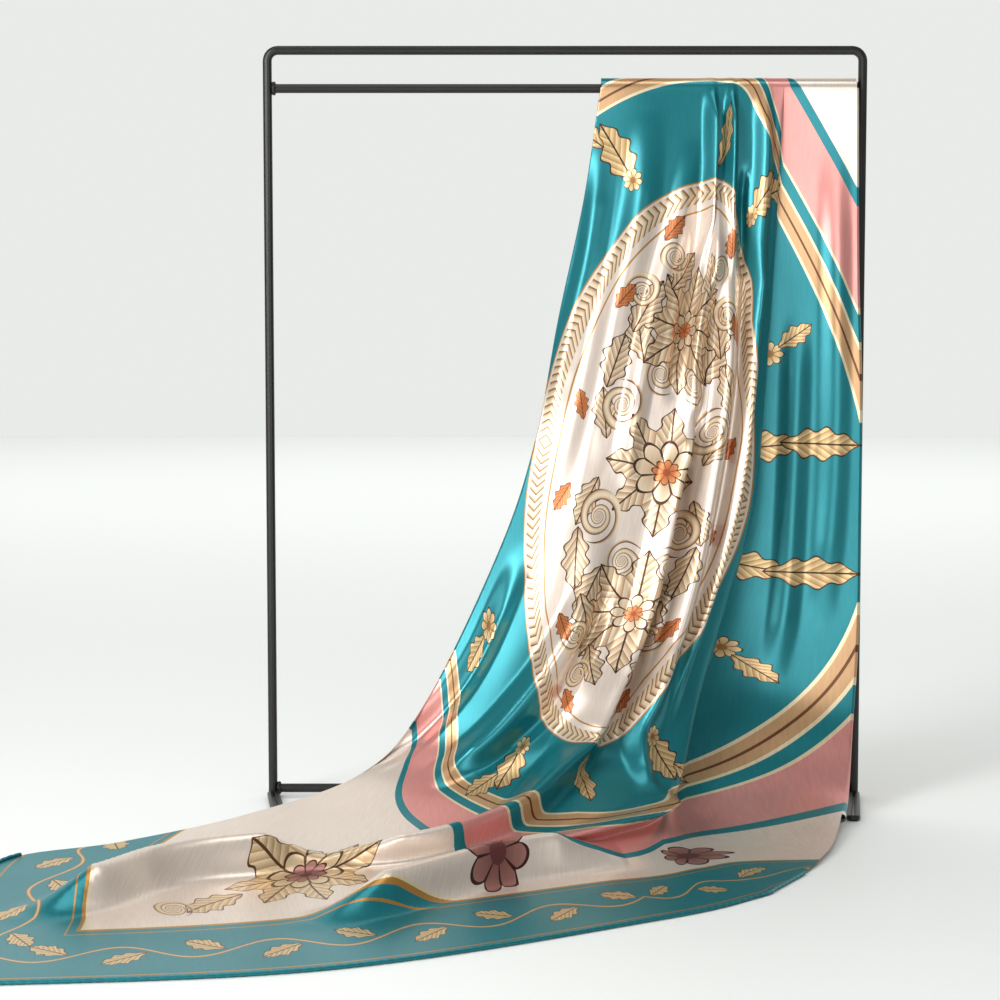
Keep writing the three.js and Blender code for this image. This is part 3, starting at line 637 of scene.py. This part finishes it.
tree.links.new(leaf_place.outputs[0], border_leaf.inputs[0])
stem = add(tree, "Math", {"operation": "ABSOLUTE"}, {0: from_vine})
stem_tone = add(tree, "Math", {"operation": "MULTIPLY_ADD"}, {0: stem, 1: -0.4, 2: 0.9})
stem = add(tree, "Math", {"operation": "LESS_THAN"}, {0: stem, 1: STEM_HALF_WIDTH})
in_border = add(tree, "Math", {"operation": "GREATER_THAN"}, {0: frame_reach, 1: BORDER_INSIDE})
vine_tone = add(tree, "Mix", {"data_type": "FLOAT"}, {
    0: stem, 2: border_leaf.outputs["Tone"], 3: stem_tone})
vine_mask = add(tree, "Math", {"operation": "MAXIMUM"}, {0: stem, 1: border_leaf.outputs["Mask"]})
vine_mask = add(tree, "Math", {"operation": "MULTIPLY"}, {0: vine_mask, 1: in_border})
garland_tone = add(tree, "Math", {"operation": "POWER"}, {0: swept, 1: 3.0})
garland_tone = add(tree, "Math", {"operation": "MULTIPLY_ADD"}, {0: garland_tone, 1: -0.9, 2: 0.95})

for stamps, outline, body, highlight in INKS:
    ink_tone, ink_mask = 0.0, 0.0
    if stamps is GILT:
        ink_tone, ink_mask = garland_tone, garland_mask
    if stamps is FIELD:
        ink_tone, ink_mask = vine_tone, vine_mask
    for motif, x, y, size, turn in stamps:
        moved = add(tree, "VectorMath", {"operation": "SUBTRACT"}, {0: quadrant, 1: (x, y, 0)})
        long_way = (math.cos(math.radians(turn)) / size, math.sin(math.radians(turn)) / size, 0)
        lengthwise = add(tree, "VectorMath", {"operation": "DOT_PRODUCT"}, {0: moved, 1: long_way})
        crosswise = add(tree, "VectorMath", {"operation": "DOT_PRODUCT"}, {
            0: moved, 1: (-long_way[1], long_way[0], 0)})
        scaled = add(tree, "CombineXYZ", {}, {
            0: lengthwise.outputs["Value"], 1: crosswise.outputs["Value"], 2: 0.0})
        pressed = tree.nodes.new("ShaderNodeGroup")
        pressed.node_tree = motif
        tree.links.new(scaled.outputs[0], pressed.inputs[0])
        ink_tone = add(tree, "Mix", {"data_type": "FLOAT"}, {
            0: pressed.outputs["Mask"], 2: ink_tone, 3: pressed.outputs["Tone"]})
        ink_mask = add(tree, "Math", {"operation": "MAXIMUM"}, {0: ink_mask, 1: pressed.outputs["Mask"]})
    ink = add(tree, "ValToRGB", {}, {0: ink_tone})
    ink.color_ramp.elements[0].color = linear(outline)
    ink.color_ramp.elements[1].color = linear(highlight)
    ink.color_ramp.elements.new(0.45).color = linear(body)
    ink.color_ramp.elements[0].position = 0.12
    colour = add(tree, "Mix", {"data_type": "RGBA"}, {0: ink_mask, 6: colour, 7: ink}).outputs[2]

# The floats are 0.1 mm wide, too fine to show. Their glint is painted into the colour as a painted sheen, in
# streaks 1.2 mm wide and 14 mm long that run from 5% darker to 3% lighter.
FLOAT_WIDTH, FLOAT_LENGTH = 1.2, 14
HANDLED_PATCH = 40  # soft patches in the gloss, left by handling
floats_place = add(tree, "VectorMath", {"operation": "MULTIPLY"},
                   {0: cut, 1: (CUT / FLOAT_WIDTH, CUT / FLOAT_LENGTH, 0)})
floats = add(tree, "TexNoise", {"noise_dimensions": "2D"},
             {"Vector": floats_place, "Scale": 1.0, "Detail": 1.0})
handled = add(tree, "TexNoise", {"noise_dimensions": "2D"},
              {"Vector": cut, "Scale": CUT / HANDLED_PATCH, "Detail": 0.0})
sheen = add(tree, "MapRange", {}, {"Value": handled, "To Min": 0.28, "To Max": 0.35})
# painted sheen: the floats' glint and shade, as a colour factor from 0.95 to 1.03
painted_float_sheen = add(tree, "MapRange", {},
            {"Value": floats, "From Min": 0.3, "From Max": 0.7, "To Min": 0.95, "To Max": 1.03})
# painted sheen: the print colour is darkened and lightened in streaks along the floats
colour = add(tree, "VectorMath", {"operation": "SCALE"}, {0: colour, "Scale": painted_float_sheen})
across_floats = add(tree, "Tangent", {"direction_type": "UV_MAP", "uv_map": "cut"}, {})
surface = add(tree, "BsdfPrincipled", {}, {
    "Base Color": colour, "Roughness": sheen, "Tangent": across_floats,
    "Metallic": 0.52, "Specular IOR Level": 0.6, "Anisotropic": 0.45,
})
add(tree, "OutputMaterial", {}, {"Surface": surface})

outer_layer = cloth_piece("scarf_outer_layer", outer, outer_flat, satin)
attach(outer_layer, "root")
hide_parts("scarf_back_fall", "scarf_front_fall", "scarf_train")

# The hems. Each edge of the square is rolled over by hand into a plump roll 2.3 mm thick and held
# by slip stitches 5.5 mm apart, which pinch it in and leave a small bead between each two.
HEM_RADIUS, STITCH, PINCH, PINCH_SHARPNESS = 1.15, 5.5, 0.24, 12
HEM_STEP, HEM_SIDES = 0.9, 9
HEM_LIFT, HEM_LOWEST = 0.7, 0.2  # the roll lies on top of the edge, and never under the table top
LEFT_HEM_STATION = 8.8  # where the square's left edge comes out from behind the front
left_hem_start = int(round(LEFT_HEM_STATION / STATIONS * (FRONT_ROWS - 1)))
hem_edges = {
    "hem_left": (front[left_hem_start:, 0], flat[left_hem_start:, 0], "rolled_hem_left"),
    "hem_bottom": (front[-1], flat[-1], "rolled_hem_bottom"),
    "hem_top": (outer[0], outer_flat[0], "rolled_hem_top"),
}
for stands_for, (edge, edge_flat, name) in hem_edges.items():
    run = np.concatenate([[0], np.cumsum(np.linalg.norm(np.diff(edge, axis=0), axis=1))])
    steps = np.linspace(0, run[-1], int(run[-1] / HEM_STEP))
    line = np.stack([np.interp(steps, run, edge[:, k]) for k in range(3)], axis=1)
    line_flat = np.stack([np.interp(steps, run, edge_flat[:, k]) for k in range(2)], axis=1)
    forward = np.gradient(line, axis=0)
    forward /= np.linalg.norm(forward, axis=1, keepdims=True)
    sideways = np.cross(forward, [0, 0, 1.0])
    sideways /= np.linalg.norm(sideways, axis=1, keepdims=True)
    upward = np.cross(sideways, forward)
    pinch = 1 - PINCH * np.cos(math.pi * steps / STITCH) ** PINCH_SHARPNESS
    around_roll = np.linspace(0, 2 * math.pi, HEM_SIDES)
    ring_out = np.cos(around_roll)[None, :, None] * sideways[:, None] + (
        np.sin(around_roll)[None, :, None] * upward[:, None])
    roll = line[:, None] + HEM_RADIUS * pinch[:, None, None] * ring_out
    roll[..., 2] = np.maximum(roll[..., 2] + HEM_LIFT, HEM_LOWEST)
    roll_flat = np.repeat(line_flat[:, None], HEM_SIDES, axis=1)
    hem = cloth_piece(name, roll, roll_flat, satin)
    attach(hem, "root")
    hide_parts(stands_for)

# The sides of the square, the same printed satin, folded in behind the front with a rounded turn at
# each fold. They lie loosely under it and are held by nothing but the bar.
# Columns: x, y, z of the free edge at each station, then u.
LEFT_SIDE = [
    (130, -5.4, 475, 245), (124, -6, 362, 240), (117, -7.5, 278, 230), (106, -10, 196, 218),
    (86, -17, 122, 202), (58, -40, 62, 112), (-6, -68, 14, 62), (-90, -104, 0.6, 6),
    (-215, -160, 0.6, 0), (-318, -216, 0.6, 0),
]
RIGHT_SIDE = [
    (34, -3.9, 475, 780), (32, -2, 392, 784), (28, 0, 300, 790), (26, 2, 225, 794), (30, 1, 150, 790),
    (50, -4, 78, 770), (92, -26, 20, 720), (142, -76, 0.6, 664),
]
# Columns: name, free edge, the front's column at the fold, layer under the front, last station, sag in
# mm, the solid it stands for.
FOLDED_SIDES = [
    ("scarf_left_side_folded_in", LEFT_SIDE, 0, 1, LEFT_HEM_STATION, 0, "scarf_left_third"),
    ("scarf_right_side_folded_in", RIGHT_SIDE, -1, 2, 6.8, 6, "scarf_right_third"),
]
LAYER = 1.5  # from the middle of one layer to the next
LOOSER = 5  # further apart at the foot of the cloth
SIDE_ROWS, SIDE_COLUMNS, TURN_COLUMNS = 120, 50, 6
for name, edge, column, layer, last, sag, stands_for in FOLDED_SIDES:
    down = np.linspace(0, last, SIDE_ROWS)
    reach = np.linspace(0, 1, SIDE_COLUMNS)
    smooth = front_sheet(down, np.array([0.0, 0.02, 0.98, 1.0]))
    near_edge = smooth[:, 0 if column == 0 else 3]
    normal = normals_of(smooth[:, :2, :3] if column == 0 else smooth[:, 2:, :3])[:, column]
    inset = layer * LAYER + LOOSER * down / STATIONS
    start = near_edge[:, :3] - inset[:, None] * normal
    end = along(np.array(edge, dtype=float), down)
    grid = start[:, None] + (end[:, :3] - start)[:, None] * reach[None, :, None]
    grid[..., 1] += sag * np.minimum(1, down / 2)[:, None] * np.sin(math.pi * reach)[None]
    outward = smooth[:, 0, :3] - smooth[:, 1, :3] if column == 0 else smooth[:, 3, :3] - smooth[:, 2, :3]
    outward /= np.linalg.norm(outward, axis=1, keepdims=True)
    turn = np.linspace(0, math.pi, TURN_COLUMNS + 1)[None, :-1, None]
    bend = near_edge[:, None, :3] - (inset[:, None, None] / 2) * (
        (1 - np.cos(turn)) * normal[:, None] - np.sin(turn) * outward[:, None])
    grid = np.concatenate([bend, grid], axis=1)
    grid[..., 2] = np.maximum(grid[..., 2], LYING_HEIGHT)
    reach = np.concatenate([np.zeros(TURN_COLUMNS), reach])
    u = near_edge[:, 3:4] + (end[:, 3:4] - near_edge[:, 3:4]) * reach
    v = np.broadcast_to(near_edge[:, 4:5], u.shape)
    if column == -1:
        grid, u, v = grid[:, ::-1], u[:, ::-1], v[:, ::-1]
    side = cloth_piece(name, grid, np.stack([u, v], axis=-1), satin)
    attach(side, "root")
    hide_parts(stands_for)
